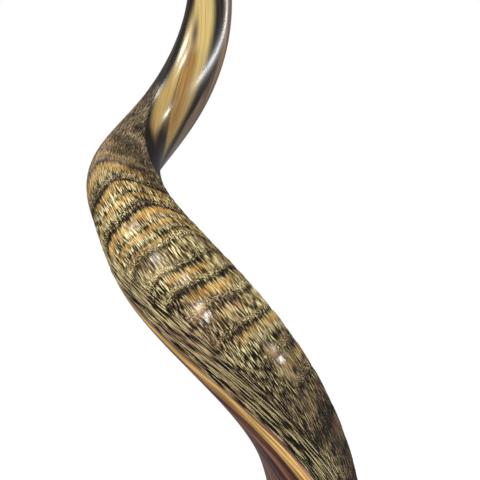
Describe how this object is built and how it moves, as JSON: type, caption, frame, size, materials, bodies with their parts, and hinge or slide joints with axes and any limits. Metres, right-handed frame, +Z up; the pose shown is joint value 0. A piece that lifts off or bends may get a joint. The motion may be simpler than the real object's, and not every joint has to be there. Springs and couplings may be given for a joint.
{
  "type": "kudu horn shofar",
  "caption": "Long left-winding kudu-horn shofar with a drilled, polished neck, banded natural wall, polished inner face and keel, standing on its level-cut bell.",
  "frame": {"origin": "on the floor, under the middle of the horn's bounding box, with the bell's level rim resting on the floor", "axes": "+Z up along the axis that the horn winds round, from the bell to the mouthpiece; +X to the viewer's right and +Y away from the viewer, when the banded outer face of the middle turn is towards the viewer"},
  "size_m": [0.1376, 0.1252, 0.7673],
  "materials": {
    "polished_horn": "gloss",
    "natural_horn": "satin"
  },
  "bodies": {
    "root": {"mouthpiece": "polished_horn", "drilled_neck": "polished_horn", "polished_neck": "polished_horn", "upper_turn": "natural_horn", "middle_turn_upper_half": "natural_horn", "middle_turn_lower_half": "natural_horn", "lower_turn_upper_half": "natural_horn", "lower_turn_lower_half": "natural_horn", "bell": "natural_horn"}
  },
  "joints": []
}
